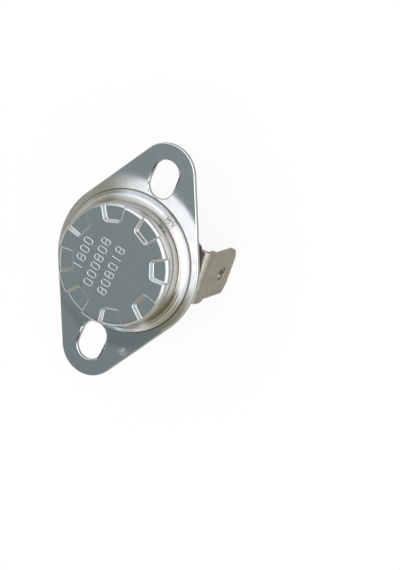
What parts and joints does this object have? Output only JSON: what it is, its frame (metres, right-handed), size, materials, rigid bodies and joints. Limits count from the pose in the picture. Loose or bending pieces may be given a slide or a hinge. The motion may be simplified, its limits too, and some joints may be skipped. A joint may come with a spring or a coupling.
{
  "type": "bimetal thermostat",
  "caption": "Snap-disc bimetal thermostat: round metal sensing cap on a slotted fixing bracket, black moulded base and push-on tab terminals.",
  "frame": {"origin": "centre of the flat sensing face, on the cap's axis", "axes": "+Z out of the sensing face along the cap's axis, +X along the bracket's long axis"},
  "size_m": [0.0334, 0.0204, 0.0207],
  "materials": {
    "cap_aluminium": "bright drawn aluminium",
    "bracket_steel": "bright zinc plated, stamped",
    "base_phenolic": "glossy black compression-moulded phenolic",
    "bimetal": "rolled bimetal sheet",
    "guide_phenolic": "brown moulded phenolic",
    "pin_ceramic": "unglazed white steatite ceramic, opaque",
    "arm_copper": "beryllium copper spring leaf",
    "contact_silver": "silver contact button",
    "strip_brass": "bare brass strip",
    "terminal_nickel": "nickel-plated brass, satin",
    "rivet_nickel": "nickel-plated brass, bright"
  },
  "bodies": {
    "housing": {"sensing_cap": "cap_aluminium", "mounting_bracket": "bracket_steel", "base_body": "base_phenolic", "bimetal_disc": "bimetal", "guide_plate": "guide_phenolic", "fixed_contact": "contact_silver", "fixed_contact_strip": "strip_brass", "terminal_front": "terminal_nickel", "terminal_rear": "terminal_nickel", "rivet_front": "rivet_nickel", "rivet_rear": "rivet_nickel"},
    "arm": {"contact_arm": "arm_copper", "moving_contact": "contact_silver"},
    "pin": {"transfer_pin": "pin_ceramic"}
  },
  "joints": [
    {"name": "contact_arm_flex", "type": "hinge", "parent": "housing", "child": "arm", "pos_m": [0.00031, -0.00359, -0.0075], "axis": [-0.9962, -0.0872, 0], "range_deg": [0, 5.1], "stiffness_Nm_per_rad": 0.05},
    {"name": "pin_slide", "type": "slide", "parent": "housing", "child": "pin", "axis": [0, 0, -1], "range_m": [0, 0.00032]}
  ],
  "couplings": [
    {"joint": "contact_arm_flex", "follows": "pin_slide", "rad_per_m": 277.8}
  ]
}
